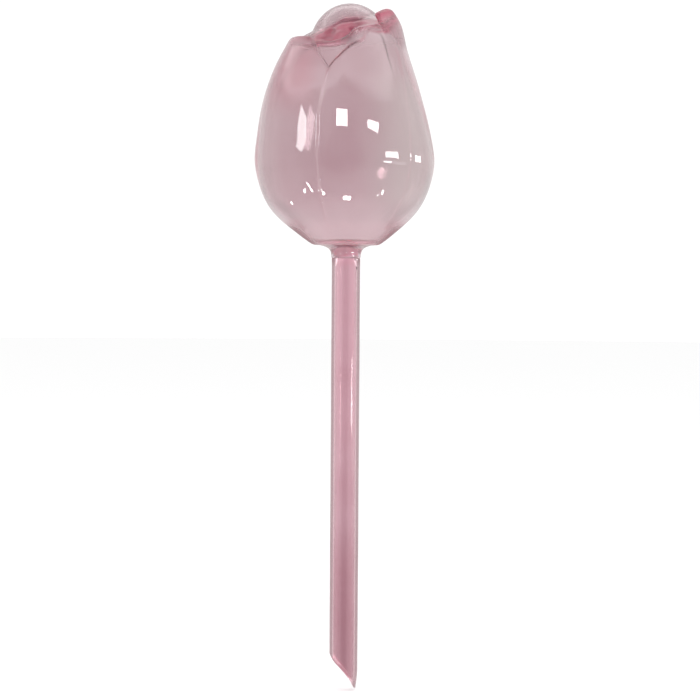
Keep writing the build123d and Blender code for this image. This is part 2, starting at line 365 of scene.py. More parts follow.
def crease_shade_lines(p):
    """Thin dark lines of painted shade where one fold meets the next, along the hood's rim, along the foot at the two
    sides and round the throat, 0 to 1.
    """
    q = place(p)
    z, b = q["z"], q["b"]
    ef, eg = q["ef"], q["eg"]
    out = 1.0 - smoothstep(3.0, 5.0, (q["re"] - q["r"]) * q["cg"])
    fine = lambda e, w: np.exp(-((e / w) ** 2))
    first = fine(ef + 0.1, 0.3) * smoothstep(63, 66, z) * (1.0 - smoothstep(9, 15, b)) * (0.45 + 0.55 * smoothstep(-4, 8, b)) * out
    second = fine(eg + 0.1, 0.3) * smoothstep(-6, -3, b) * (1.0 - smoothstep(5, 9, b)) * smoothstep(73.1, 74.4, z) * out
    e = (q["he"] - HOOD_RIM(q["hb"])) * np.radians(1.0) * 15.0
    hood = fine(e + 0.1, 0.35) * smoothstep(-24, -14, q["hb"]) * (1.0 - smoothstep(46, 62, q["hb"])) * (np.abs(q["hood"] + 0.75) < 1.6)
    foot = 0.34 * smoothstep(4.0, 5.2, z) * (1.0 - smoothstep(9.5, 13.0, z)) * smoothstep(8.0, 11.0, q["r"]) * (limb(b) - 0.04)
    ring = 0.5 * smoothstep(5.2, 5.8, z) * (1.0 - smoothstep(6.3, 7.0, z)) * (1.0 - smoothstep(5.7, 7.4, q["r"]))
    return np.clip(np.maximum.reduce([first, second, 0.7 * hood, foot, ring]), 0.0, 1.0)


def surface_nets(field, lo, hi, g, reach=4):
    """Closed quad mesh of a field's zero level. Only blocks near the level are worked out finely."""
    n = [int(math.ceil((hi[i] - lo[i]) / g / reach)) * reach for i in range(3)]
    ax = [lo[i] + g * np.arange(n[i] + 1) for i in range(3)]
    cx = [a[::reach] for a in ax]
    cp = np.stack(np.meshgrid(*cx, indexing="ij"), -1)
    cf = field(cp.reshape(-1, 3)).reshape(cp.shape[:3])
    near = np.abs(cf) < 2.2 * g * reach
    block = np.zeros([s - 1 for s in cf.shape], bool)
    for i in (0, 1):
        for j in (0, 1):
            for k in (0, 1):
                block |= near[i : i + block.shape[0], j : j + block.shape[1], k : k + block.shape[2]]
    fine = np.full([m + 1 for m in n], 1.0)
    up = cf
    for axis in range(3):
        up = np.repeat(up, reach, axis=axis)
    fine[:] = np.sign(up[: n[0] + 1, : n[1] + 1, : n[2] + 1])
    want = np.zeros(fine.shape, bool)
    b = block
    for axis in range(3):
        b = np.repeat(b, reach, axis=axis)
    for i in (0, 1):
        for j in (0, 1):
            for k in (0, 1):
                want[i : i + n[0], j : j + n[1], k : k + n[2]] |= b
    idx = np.argwhere(want)
    vals = np.empty(len(idx))
    for s in range(0, len(idx), 400000):
        q = idx[s : s + 400000]
        vals[s : s + 400000] = field(np.stack([ax[i][q[:, i]] for i in range(3)], -1))
    fine[want] = vals
    # gaps thinner than a grid step are closed, so that no edge is shared by four faces
    for _ in range(12):
        inside = fine < 0
        shut = np.zeros(fine.shape, bool)
        for axis in range(3):
            bb, cc = (axis + 1) % 3, (axis + 2) % 3
            at = {}
            for db in (0, 1):
                for dc in (0, 1):
                    cut = [slice(None)] * 3
                    cut[bb] = slice(db, n[bb] + db)
                    cut[cc] = slice(dc, n[cc] + dc)
                    at[db, dc] = tuple(cut)
            odd = (inside[at[0, 0]] == inside[at[1, 1]]) & (inside[at[0, 1]] == inside[at[1, 0]]) & (inside[at[0, 0]] != inside[at[0, 1]])
            for cut in at.values():
                shut[cut] |= odd & ~inside[cut]
        if not shut.any():
            break
        fine[shut] = -0.02 * g
    inside = fine < 0
    count = np.zeros([m for m in n], np.int8)
    for i in (0, 1):
        for j in (0, 1):
            for k in (0, 1):
                count += inside[i : i + n[0], j : j + n[1], k : k + n[2]]
    active = (count > 0) & (count < 8)
    ids = np.full(active.shape, -1, np.int64)
    total = int(active.sum())
    ids[active] = np.arange(total)
    acc, num, quads = np.zeros((total, 3)), np.zeros(total), []
    base = np.array(lo)
    for axis in range(3):
        bb, cc = (axis + 1) % 3, (axis + 2) % 3
        a0 = [slice(None)] * 3
        a1 = [slice(None)] * 3
        a0[axis], a1[axis] = slice(None, -1), slice(1, None)
        e = np.argwhere(inside[tuple(a0)] != inside[tuple(a1)])
        step = np.zeros(3, int)
        step[axis] = 1
        f0 = fine[tuple(e.T)]
        f1 = fine[tuple((e + step).T)]
        t = f0 / (f0 - f1)
        pos = base + g * (e + t[:, None] * step)
        cells = []
        for db, dc in ((-1, -1), (0, -1), (0, 0), (-1, 0)):
            q = e.copy()
            q[:, bb] += db
            q[:, cc] += dc
            c = ids[tuple(q.T)]
            cells.append(c)
            for m in range(3):
                acc[:, m] += np.bincount(c, pos[:, m], total)
            num += np.bincount(c, minlength=total)
        quad = np.stack(cells, 1)
        quad[f0 >= 0] = quad[f0 >= 0][:, ::-1]
        quads.append(quad)
    return acc / num[:, None], np.concatenate(quads)


def gradient(field, p, eps=0.04):
    out = np.empty_like(p)
    for i in range(3):
        d = np.zeros(3)
        d[i] = eps
        out[:, i] = (field(p + d) - field(p - d)) / (2 * eps)
    return out


def settle(field, p, quads, g, rounds=3):
    """Evens out the mesh along the surface and puts each point back on the field's zero level."""
    e = np.concatenate([quads[:, [0, 1]], quads[:, [1, 2]], quads[:, [2, 3]], quads[:, [3, 0]]])
    e = np.concatenate([e, e[:, ::-1]])
    n = len(p)
    deg = np.bincount(e[:, 0], minlength=n)[:, None]
    for r in range(rounds):
        mean = np.stack([np.bincount(e[:, 0], p[e[:, 1], i], n) for i in range(3)], 1) / deg
        for _ in range(2 if r else 3):
            f, gr = field(p), gradient(field, p)
            size = np.maximum((gr * gr).sum(1), 0.05)
            move = -(f / size)[:, None] * gr
            far = np.linalg.norm(move, axis=1)
            move *= np.minimum(1.0, 0.5 * g / np.maximum(far, 1e-9))[:, None]
            p = p + move
        if r < rounds - 1:
            nrm = gr / np.sqrt(size)[:, None]
            d = mean - p
            d -= (d * nrm).sum(1)[:, None] * nrm
            p = p + 0.5 * d
    return p


def make_mesh(name, verts, faces, smooth=True, sharp=None):
    me = bpy.data.meshes.new(name)
    me.from_pydata(np.asarray(verts) * MM, [], faces if isinstance(faces, list) else np.asarray(faces).tolist())
    me.validate()
    if smooth:
        me.polygons.foreach_set("use_smooth", np.ones(len(me.polygons), bool))
        if sharp is not None:
            me.set_sharp_from_angle(angle=math.radians(sharp))
    me.update()
    ob = bpy.data.objects.new(name, me)
    bpy.context.scene.collection.objects.link(ob)
    return ob


def lathe(profile, segs, centre=None):
    """Closed lathe mesh. The profile's first and last points may lie on the axis; otherwise it is a closed ring."""
    pr = np.asarray(profile, float)
    on_axis = abs(pr[0, 0]) < 1e-9 and abs(pr[-1, 0]) < 1e-9
    th = 2 * np.pi * np.arange(segs) / segs
    verts, faces = [], []
    rows = pr[1:-1] if on_axis else pr
    for r, z in rows:
        cx = 0.0 if centre is None else centre(z)
        verts.append(np.stack([r * np.sin(th) + cx, -r * np.cos(th), np.full(segs, z)], 1))
    v = np.concatenate(verts)
    nrow = len(rows)
    j = np.arange(segs)
    jn = (j + 1) % segs
    for i in range(nrow - 1 if on_axis else nrow):
        a, b = i * segs, ((i + 1) % nrow) * segs
        faces += np.stack([a + j, a + jn, b + jn, b + j], 1).tolist()
    if on_axis:
        s = len(v)
        ends = [[0 if centre is None else float(centre(pr[0, 1])), 0, pr[0, 1]], [0 if centre is None else float(centre(pr[-1, 1])), 0, pr[-1, 1]]]
        v = np.concatenate([v, ends])
        faces += [[s, int(b), int(a)] for a, b in zip(j, jn)]
        t = (nrow - 1) * segs
        faces += [[s + 1, int(t + a), int(t + b)] for a, b in zip(j, jn)]
    return v, faces


GRID = 0.42
lo_mm, hi_mm = np.array([-33.6, -33.0, -1.2]), np.array([33.0, 33.0, 90.6])
pts, quads = surface_nets(skin, lo_mm, hi_mm, GRID)
pts = settle(skin, pts, quads, GRID)
outer = make_mesh("bulb_outer", pts, quads)
pts, quads = surface_nets(water, lo_mm, hi_mm, 0.6)
pts = settle(water, pts, quads, 0.6)
print("thinnest wall, mm", round(float((-skin(pts)).min()), 3))
space = make_mesh("bulb_space", pts, quads)
BORE = 4.59
v, f = lathe([(0.0, -1.5), (BORE, -1.5), (BORE, 2.0), (BORE, 5.0), (BORE, 6.6), (0.0, 6.6)], 144)
bore = make_mesh("bulb_bore", v, f)
for cutter in (space, bore):
    cut = outer.modifiers.new("cut", "BOOLEAN")
    cut.operation, cut.object, cut.solver = "DIFFERENCE", cutter, "MANIFOLD"
bpy.context.view_layer.update()
shell_mesh = bpy.data.meshes.new_from_object(outer.evaluated_get(bpy.context.evaluated_depsgraph_get()))
for o in (outer, space, bore):
    bpy.data.objects.remove(o)
shell_mesh.name = "tulip_shell"
bm = bmesh.new()
bm.from_mesh(shell_mesh)
bm.verts.ensure_lookup_table()
mark, sizes = np.full(len(bm.verts), -1), []
for seed in bm.verts:
    if mark[seed.index] < 0:
        mark[seed.index] = len(sizes)
        stack, count = [seed], 0
        while stack:
            vert = stack.pop()
            count += 1
            for edge in vert.link_edges:
                other = edge.other_vert(vert)
                if mark[other.index] < 0:
                    mark[other.index] = len(sizes)
                    stack.append(other)
        sizes.append(count)
print("islands in the shell", sorted(sizes)[::-1][:8])
keep = int(np.argmax(sizes))
bmesh.ops.delete(bm, geom=[vert for vert in bm.verts if mark[vert.index] != keep], context="VERTS")
bm.to_mesh(shell_mesh)
bm.free()
shell_mesh.polygons.foreach_set("use_smooth", np.ones(len(shell_mesh.polygons), bool))
shell_mesh.set_sharp_from_angle(angle=math.radians(55))
co = np.empty(len(shell_mesh.vertices) * 3)
shell_mesh.vertices.foreach_get("co", co)
co = co.reshape(-1, 3) / MM
throat = (1.0 - smoothstep(3.2, 5.0, co[:, 2])) * (1.0 - smoothstep(6.5, 9.0, np.hypot(co[:, 0], co[:, 1])))
# painted reflection: more grey towards the right side and a little at the far left, fading out low down and less
# towards the top
painted_grey_reflection = np.maximum(smoothstep(1.0, 24.0, co[:, 0]), 0.45 * smoothstep(20.0, 31.0, -co[:, 0])) * smoothstep(8, 22, co[:, 2]) * (1.0 - 0.6 * smoothstep(56, 72, co[:, 2]))
tint_and_shade_at = tint(co)
spot = place(co)
matt = 0.5 * smoothstep(71.0, 76.5, co[:, 2]) * (1.0 - smoothstep(0.0, 1.5, spot["ef"]) * (1.0 - smoothstep(75.5, 79.5, co[:, 2])))
notch_edge = np.exp(-((((L_R(co[:, 2]) - spot["b"]) * spot["arc"]) / 1.3) ** 2)) * smoothstep(61.0, 66.0, co[:, 2])
corner = 0.85 * smoothstep(71.5, 74.0, co[:, 2]) * smoothstep(-70, -58, spot["b"]) * (1.0 - smoothstep(6, 14, spot["b"])) * (1.0 - smoothstep(-4, 2, spot["he"] - HOOD_RIM(spot["hb"])))
rim_left = 0.4 * np.exp(-((spot["ef"] / 0.9) ** 2)) * (1.0 - smoothstep(-8, -2, spot["b"])) * smoothstep(12, 24, co[:, 2]) * (1.0 - 0.7 * smoothstep(40, 44, co[:, 2]) * (1.0 - smoothstep(52, 57, co[:, 2])))
matt = np.maximum.reduce([tint_and_shade_at, matt, corner, rim_left, 0.5 * notch_edge, 0.4 * (1.0 - smoothstep(0.3, 0.9, co[:, 2]))])
# painted light: paler on the right of the crown, where the pink is not deeper
crown_light = 0.3 * smoothstep(73.0, 78.0, co[:, 2]) * smoothstep(0.0, 6.0, co[:, 0]) * (1.0 - smoothstep(0.1, 0.4, tint_and_shade_at))
# Of these colour masks, the pink one is partly painted shade, the pale one partly painted light, the grey one a painted
# reflection and the dark lines painted shade; matt sets roughness.
for label, values in (("tint_and_shade", tint_and_shade_at), ("matt", matt), ("inside", smoothstep(0.15, 0.5, -skin(co))), ("pale", np.maximum(throat, crown_light)), ("painted_grey_reflection", painted_grey_reflection), ("crease_shade", crease_shade_lines(co))):
    at = shell_mesh.attributes.new(label, "FLOAT", "POINT")
    at.data.foreach_set("value", values.astype(np.float32))

# shading normals straight from the fields, so that reflections run evenly over the mesh
loop_at = np.empty(len(shell_mesh.loops), np.int32)
shell_mesh.loops.foreach_get("vertex_index", loop_at)
now = np.empty(len(loop_at) * 3, np.float32)
shell_mesh.corner_normals.foreach_get("vector", now)
now = now.reshape(-1, 3).astype(float)
best = np.zeros_like(co)
for field, sign in ((water, -1.0), (skin, 1.0)):
    on = np.abs(field(co)) < 0.02
    best[on] = sign * gradient(field, co[on], 0.03)
best /= np.maximum(np.linalg.norm(best, axis=1), 1e-9)[:, None]
agree = (best[loop_at] * now).sum(1)
print("normals from the fields on", round(float((agree > 0.9).mean()), 4), "turned by up to, degrees", np.round(np.degrees(np.arccos(np.clip(np.percentile(agree[agree > 0.9], [50, 10, 1]), -1, 1))), 2))
now[agree > 0.9] = best[loop_at][agree > 0.9]
shell_mesh.normals_split_custom_set(now.tolist())
tulip = bpy.data.objects.new("tulip_shell", shell_mesh)
bpy.context.scene.collection.objects.link(tulip)

# =====================================================================
# the stem: a drawn tube with a spigot at the top and a blade-cut tip
# =====================================================================
STEM_R, STEM_IN, SPIGOT, SPIGOT_IN, SPIGOT_TOP = 5.0, 3.7, 3.88, 3.1, 7.0
CUT = natural([-5.2, -3.9, -1.9, 0.1, 1.7, 3.0, 4.1, 5.2], [-138.3, -140.4, -142.6, -144.7, -146.7, -148.6, -150.2, -151.0])
SEG = 112
th = 2 * np.pi * np.arange(SEG) / SEG


def stem_ring(r, z, cut=None):
    """One ring of the tube; a cut ring follows the slanted cut at that offset above it."""
    x, y = r * np.cos(th), r * np.sin(th)
    zz = np.full(SEG, float(z)) if cut is None else CUT(x) + cut
    return np.stack([x, y, zz], 1)


def stem_wall(r, z_top, rows):
    """Rings from z_top down to the slanted cut, closing up towards it."""
    end = stem_ring(r, 0, cut=0.18)[:, 2]
    out = []
    for t in np.linspace(0, 1, rows):
        ring = stem_ring(r, z_top)
        ring[:, 2] = z_top + (end - z_top) * t
        out.append(ring)
    return out


rings = []
rings += [stem_ring(SPIGOT_IN + 0.12, SPIGOT_TOP), stem_ring(SPIGOT - 0.45, SPIGOT_TOP), stem_ring(SPIGOT - 0.08, SPIGOT_TOP - 0.37),
          stem_ring(SPIGOT, SPIGOT_TOP - 0.55), stem_ring(SPIGOT, 3.0), stem_ring(SPIGOT, 0.12), stem_ring(SPIGOT + 0.1, 0.0)]
rings += [stem_ring(STEM_R - 0.22, 0.0), stem_ring(STEM_R - 0.06, -0.07), stem_ring(STEM_R, -0.25)]
rings += stem_wall(STEM_R, -0.6, 140)
rings += [stem_ring(STEM_R - 0.06, 0, cut=0.05), stem_ring(STEM_R - 0.2, 0, cut=0.0), stem_ring(STEM_IN + 0.2, 0, cut=0.0), stem_ring(STEM_IN + 0.06, 0, cut=0.05)]
rings += stem_wall(STEM_IN, -3.0, 140)[::-1]
rings += [stem_ring(STEM_IN - 0.05, -2.75), stem_ring(SPIGOT_IN + 0.05, -1.2), stem_ring(SPIGOT_IN, -0.9), stem_ring(SPIGOT_IN, 3.0), stem_ring(SPIGOT_IN, SPIGOT_TOP - 0.12)]
sv = np.concatenate(rings)
# the point of the tip is pinched in a little by the blade
lean = 0.75 * np.clip((-144.5 - sv[:, 2]) / 6.5, 0, 1) ** 1.5 * np.clip(sv[:, 0] / 5.0, 0, 1)
sv[:, 0] -= lean
# a drawn tube is not quite even
a = np.arctan2(sv[:, 1], sv[:, 0])
even = smoothstep(0, 8, -sv[:, 2])
rr = 1.0 - even * 0.006 * (1 + np.sin(0.083 * sv[:, 2] + 0.6) * 0.6 + 0.4 * np.sin(0.21 * sv[:, 2] + 2 * a))
sv[:, 0] *= rr
sv[:, 1] *= rr
j = np.arange(SEG)
jn = (j + 1) % SEG
faces = []
for i in range(len(rings)):
    a0, b0 = i * SEG, ((i + 1) % len(rings)) * SEG
    faces += np.stack([a0 + j, b0 + j, b0 + jn, a0 + jn], 1).tolist()
stem = make_mesh("feed_stem", sv, faces, sharp=50)
bore_side = 1.0 - smoothstep(3.95, 4.2, np.hypot(sv[:, 0], sv[:, 1])) * (sv[:, 2] < -0.3) - smoothstep(3.3, 3.6, np.hypot(sv[:, 0], sv[:, 1])) * (sv[:, 2] >= -0.3)
near_cut = np.exp(-np.clip(sv[:, 2] - CUT(sv[:, 0]), 0, None) / 1.2) * 0.55
# painted shade: deeper pink towards the lower end of the stem
low_stem_shade = 0.2 * smoothstep(86, 120, -sv[:, 2])
for label, values in (("tint_and_shade", np.maximum(near_cut, low_stem_shade)), ("matt", np.maximum(near_cut, 0.4 * smoothstep(-0.7, -0.2, sv[:, 2]) * (sv[:, 2] < 0.3))), ("inside", bore_side), ("pale", smoothstep(-1.5, 0.0, sv[:, 2])), ("painted_grey_reflection", 0.0 * sv[:, 2]), ("crease_shade", 0.0 * sv[:, 2])):
    at = stem.data.attributes.new(label, "FLOAT", "POINT")
    at.data.foreach_set("value", np.asarray(values, np.float32))

# =====================================================================
# the grommet in the throat
# =====================================================================
GI, GO, GF, FLOOR = 3.92, 4.55, 5.75, 6.02
gr = [
    (GI, 0.78), (GI + 0.1, 0.64), (GI + 0.25, 0.6), (GO - 0.25, 0.62), (GO - 0.06, 0.78), (GO, 1.0),
    (GO, 3.0), (GO, FLOOR - 0.02), (GO + 0.02, FLOOR), (GF - 0.2, FLOOR), (GF - 0.05, FLOOR + 0.08), (GF, FLOOR + 0.25), (GF - 0.02, FLOOR + 0.48),
    (GF - 0.15, FLOOR + 0.66), (GF - 0.4, FLOOR + 0.73), (GI + 0.4, FLOOR + 0.73), (GI + 0.12, FLOOR + 0.66), (GI, FLOOR + 0.45), (GI, 3.4),
]
v, f = lathe(gr[::-1], 96)
grommet = make_mesh("throat_seal", v, f, sharp=60)

# normals outwards on all three
for ob in (tulip, stem, grommet):
    if ob is not tulip:
        bm = bmesh.new()
        bm.from_mesh(ob.data)
        bmesh.ops.recalc_face_normals(bm, faces=bm.faces)
        bm.to_mesh(ob.data)
        bm.free()
    print(ob.name, "faces", len(ob.data.polygons), "verts", len(ob.data.vertices))

# =====================================================================
# materials
# =====================================================================


def clear_plastic(name, base, tint_and_shade, rough, rough_in, absorb, density, ior=1.52, grain=38.0, bump=0.025, gloss=0.5, edge=((0.85, 0.85, 0.85), 0.6, 0.9)):
    """Clear tinted plastic: deeper tint where the mesh says so, partly painted shade, with a painted grey reflection,
    paler patches that are partly painted light, painted dark crease lines, painted shade at grazing angles, and a
    duller inner face.
    """
    m = bpy.data.materials.new(name)
    m.use_nodes = True
    nt = m.node_tree
    nt.nodes.clear()
    out = nt.nodes.new("ShaderNodeOutputMaterial")
    bsdf = nt.nodes.new("ShaderNodeBsdfPrincipled")
    nt.links.new(bsdf.outputs[0], out.inputs["Surface"])
    bsdf.inputs["Transmission Weight"].default_value = 1.0
    bsdf.inputs["IOR"].default_value = ior
    tc = nt.nodes.new("ShaderNodeTexCoord")
    # faint cloudiness of the tint
    cloud = nt.nodes.new("ShaderNodeTexNoise")
    cloud.inputs["Scale"].default_value = grain
    cloud.inputs["Detail"].default_value = 3.0
    nt.links.new(tc.outputs["Object"], cloud.inputs["Vector"])
    ramp = nt.nodes.new("ShaderNodeValToRGB")
    ramp.color_ramp.elements[0].position = 0.32
    ramp.color_ramp.elements[1].position = 0.70
    ramp.color_ramp.elements[0].color = (base[0] * 0.97, base[1] * 0.93, base[2] * 0.94, 1)
    ramp.color_ramp.elements[1].color = (*[min(1.0, c * 1.02) for c in base], 1)
    nt.links.new(cloud.outputs["Fac"], ramp.inputs["Fac"])
    colour = ramp.outputs["Color"]
    # The grey mix is a painted reflection, the deeper pink mix partly painted shade, the pale mix partly painted light
    # and the near-black mix painted shade in the creases.
    for label, tone in (("painted_grey_reflection", (0.82, 0.765, 0.76)), ("tint_and_shade", tint_and_shade), ("pale", (0.97, 0.91, 0.93)), ("crease_shade", (0.10, 0.035, 0.05))):
        at = nt.nodes.new("ShaderNodeAttribute")
        at.attribute_name = label
        mx = nt.nodes.new("ShaderNodeMix")
        mx.data_type = "RGBA"
        nt.links.new(at.outputs["Fac"], mx.inputs["Factor"])
        nt.links.new(colour, mx.inputs["A"])
        mx.inputs["B"].default_value = (*tone, 1)
        colour = mx.outputs["Result"]
        if label == "tint_and_shade":
            dull = nt.nodes.new("ShaderNodeMath")
            dull.operation = "MULTIPLY_ADD"
            dull.inputs[1].default_value = -0.9 * gloss
            dull.inputs[2].default_value = gloss
            nt.links.new(at.outputs["Fac"], dull.inputs[0])
            nt.links.new(dull.outputs[0], bsdf.inputs["Specular IOR Level"])
    # painted shade: the outer face's colour darkens at grazing angles, standing in for the longer look through the
    # tinted wall
    facing = nt.nodes.new("ShaderNodeLayerWeight")
    facing.inputs["Blend"].default_value = 0.5
    run = nt.nodes.new("ShaderNodeMapRange")
    run.interpolation_type = "SMOOTHSTEP"
    run.inputs["From Min"].default_value = edge[1]
    run.inputs["From Max"].default_value = edge[2]
    nt.links.new(facing.outputs["Facing"], run.inputs["Value"])
    side = nt.nodes.new("ShaderNodeAttribute")
    side.attribute_name = "inside"
    outer_only = nt.nodes.new("ShaderNodeMath")
    outer_only.operation = "MULTIPLY_ADD"
    outer_only.inputs[1].default_value = -1.0
    outer_only.inputs[2].default_value = 1.0
    nt.links.new(side.outputs["Fac"], outer_only.inputs[0])
    edge_shade = nt.nodes.new("ShaderNodeMath")
    edge_shade.operation = "MULTIPLY"
    nt.links.new(run.outputs["Result"], edge_shade.inputs[0])
    nt.links.new(outer_only.outputs[0], edge_shade.inputs[1])
    mx = nt.nodes.new("ShaderNodeMix")
    mx.data_type = "RGBA"
    mx.blend_type = "MULTIPLY"
    nt.links.new(edge_shade.outputs[0], mx.inputs["Factor"])
    nt.links.new(colour, mx.inputs["A"])
    mx.inputs["B"].default_value = (*edge[0], 1)
    nt.links.new(mx.outputs["Result"], bsdf.inputs["Base Color"])
    # handling marks: roughness in soft patches, and a dull inner face
    smear = nt.nodes.new("ShaderNodeTexNoise")
    smear.inputs["Scale"].default_value = 120.0
    smear.inputs["Detail"].default_value = 4.0
    nt.links.new(tc.outputs["Object"], smear.inputs["Vector"])
    rr = nt.nodes.new("ShaderNodeMapRange")
    rr.inputs["From Min"].default_value = 0.35
    rr.inputs["From Max"].default_value = 0.75
    rr.inputs["To Min"].default_value = rough
    rr.inputs["To Max"].default_value = rough + 0.03
    nt.links.new(smear.outputs["Fac"], rr.inputs["Value"])
    add = nt.nodes.new("ShaderNodeMath")
    add.operation = "MULTIPLY_ADD"
    add.inputs[1].default_value = rough_in - rough
    nt.links.new(side.outputs["Fac"], add.inputs[0])
    nt.links.new(rr.outputs["Result"], add.inputs[2])
    frost = nt.nodes.new("ShaderNodeAttribute")
    frost.attribute_name = "matt"
    both = nt.nodes.new("ShaderNodeMath")
    both.operation = "MULTIPLY_ADD"
    both.inputs[1].default_value = 0.42
    nt.links.new(frost.outputs["Fac"], both.inputs[0])
    nt.links.new(add.outputs[0], both.inputs[2])
    nt.links.new(both.outputs[0], bsdf.inputs["Roughness"])
    # ripple of a blown or drawn wall
    wave = nt.nodes.new("ShaderNodeTexNoise")
    wave.inputs["Scale"].default_value = 95.0
    wave.inputs["Detail"].default_value = 1.0
    nt.links.new(tc.outputs["Object"], wave.inputs["Vector"])
    bp = nt.nodes.new("ShaderNodeBump")
    bp.inputs["Strength"].default_value = bump
    bp.inputs["Distance"].default_value = 0.001
    nt.links.new(wave.outputs["Fac"], bp.inputs["Height"])
    nt.links.new(bp.outputs["Normal"], bsdf.inputs["Normal"])
    va = nt.nodes.new("ShaderNodeVolumeAbsorption")
    va.inputs["Color"].default_value = (*absorb, 1)
    va.inputs["Density"].default_value = density
    nt.links.new(va.outputs[0], out.inputs["Volume"])
    return m


# both plastics take painted shade at grazing angles; the stem's edge colour is far darker
bulb_mat = clear_plastic("bulb_clear_pink", (0.79, 0.67, 0.695), (0.85, 0.15, 0.285), 0.02, 0.07, (0.85, 0.0, 0.25), 45.0)
stem_mat = clear_plastic("stem_clear_pink", (0.90, 0.80, 0.825), (0.80, 0.40, 0.48), 0.035, 0.10, (0.85, 0.0, 0.25), 150.0, ior=1.46, grain=60.0, bump=0.04, gloss=0.3, edge=((0.24, 0.175, 0.185), 0.15, 0.43))

m = bpy.data.materials.new("seal_soft_pink")
m.use_nodes = True
nt = m.node_tree
bsdf = nt.nodes["Principled BSDF"]
bsdf.inputs["IOR"].default_value = 1.45
bsdf.inputs["Subsurface Weight"].default_value = 0.4
bsdf.inputs["Subsurface Radius"].default_value = (0.002, 0.0007, 0.0008)
tc = nt.nodes.new("ShaderNodeTexCoord")
nz = nt.nodes.new("ShaderNodeTexNoise")
nz.inputs["Scale"].default_value = 420.0
nz.inputs["Detail"].default_value = 4.0
nt.links.new(tc.outputs["Object"], nz.inputs["Vector"])
ramp = nt.nodes.new("ShaderNodeValToRGB")
ramp.color_ramp.elements[0].color = (0.70, 0.37, 0.45, 1)
ramp.color_ramp.elements[1].color = (0.76, 0.43, 0.51, 1)
nt.links.new(nz.outputs["Fac"], ramp.inputs["Fac"])
level = nt.nodes.new("ShaderNodeSeparateXYZ")
nt.links.new(tc.outputs["Object"], level.inputs[0])
high = nt.nodes.new("ShaderNodeMapRange")
high.interpolation_type = "SMOOTHSTEP"
high.inputs["From Min"].default_value = 0.0050
high.inputs["From Max"].default_value = 0.0061
nt.links.new(level.outputs["Z"], high.inputs["Value"])
deeper = nt.nodes.new("ShaderNodeMix")
deeper.data_type = "RGBA"
nt.links.new(high.outputs["Result"], deeper.inputs["Factor"])
nt.links.new(ramp.outputs["Color"], deeper.inputs["A"])
deeper.inputs["B"].default_value = (0.40, 0.085, 0.15, 1)
nt.links.new(deeper.outputs["Result"], bsdf.inputs["Base Color"])
rr = nt.nodes.new("ShaderNodeMapRange")
rr.inputs["To Min"].default_value = 0.38
rr.inputs["To Max"].default_value = 0.55
nt.links.new(nz.outputs["Fac"], rr.inputs["Value"])
nt.links.new(rr.outputs["Result"], bsdf.inputs["Roughness"])
bp = nt.nodes.new("ShaderNodeBump")
bp.inputs["Strength"].default_value = 0.15
bp.inputs["Distance"].default_value = 0.0002
nt.links.new(nz.outputs["Fac"], bp.inputs["Height"])
nt.links.new(bp.outputs["Normal"], bsdf.inputs["Normal"])
seal_mat = m

for ob, mat, node, body, slot in (
    (tulip, bulb_mat, "tulip_bulb", "bulb", "bulb_plastic"),
    (stem, stem_mat, "stem_tube", "stem", "stem_plastic"),
    (grommet, seal_mat, "neck_grommet", "grommet", "grommet_rubber"),
):
    ob.data.materials.clear()
    ob.data.materials.append(mat)
    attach(ob, body)
    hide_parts(node)

stem.visible_glossy = False  # keeps the stem's mirror image off the foot of the bulb

# =====================================================================
# stage, light, camera
# =====================================================================
sc = bpy.context.scene
n = 96
v = [[0, 0, 0]] + [[4.0 * math.cos(2 * math.pi * i / n), 4.0 * math.sin(2 * math.pi * i / n), 0] for i in range(n)]
me = bpy.data.meshes.new("floor")
me.from_pydata([(x, y, float(cad_lo.z) - 0.0006) for x, y, _ in v], [], [[0, 1 + i, 1 + (i + 1) % n] for i in range(n)])
floor = bpy.data.objects.new("floor", me)
sc.collection.objects.link(floor)
fm = bpy.data.materials.new("floor_pale")
fm.use_nodes = True
fb = fm.node_tree.nodes["Principled BSDF"]
fb.inputs["Base Color"].default_value = (0.9, 0.9, 0.9, 1)
fb.inputs["Roughness"].default_value = 0.9
fb.inputs["Specular IOR Level"].default_value = 0.0
me.materials.append(fm)
floor.visible_glossy = False  # the plastic mirrors and shows the room, not the bright sheet under the object
floor.visible_transmission = False
floor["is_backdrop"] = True

w = bpy.data.worlds.new("studio")
sc.world = w
w.use_nodes = True
wn = w.node_tree
wn.nodes.clear()
wo = wn.nodes.new("ShaderNodeOutputWorld")
white = wn.nodes.new("ShaderNodeBackground")
white.inputs["Color"].default_value = (1, 1, 1, 1)
white.inputs["Strength"].default_value = 1.08
grey = wn.nodes.new("ShaderNodeBackground")
grey.inputs["Color"].default_value = (1.0, 0.985, 0.975, 1)
# what the gloss reflects: a darker room in front, paler walls at the sides, and a bright ceiling
wc = wn.nodes.new("ShaderNodeTexCoord")
sep = wn.nodes.new("ShaderNodeSeparateXYZ")
wn.links.new(wc.outputs["Generated"], sep.inputs[0])


def steps(source, low, high, stops):
    """Smooth run of grey values over a range of directions."""
    mr = wn.nodes.new("ShaderNodeMapRange")
    mr.inputs["From Min"].default_value = low
    mr.inputs["From Max"].default_value = high
    wn.links.new(source, mr.inputs["Value"])
    rp = wn.nodes.new("ShaderNodeValToRGB")
    rp.color_ramp.interpolation = "EASE"
    el = rp.color_ramp.elements
    while len(el) < len(stops):
        el.new(0.5)
    for e, (at, g) in zip(el, stops):
        e.position = (at - low) / (high - low)
        e.color = (g, g, g, 1)
    wn.links.new(mr.outputs["Result"], rp.inputs["Fac"])
    return rp.outputs["Color"]


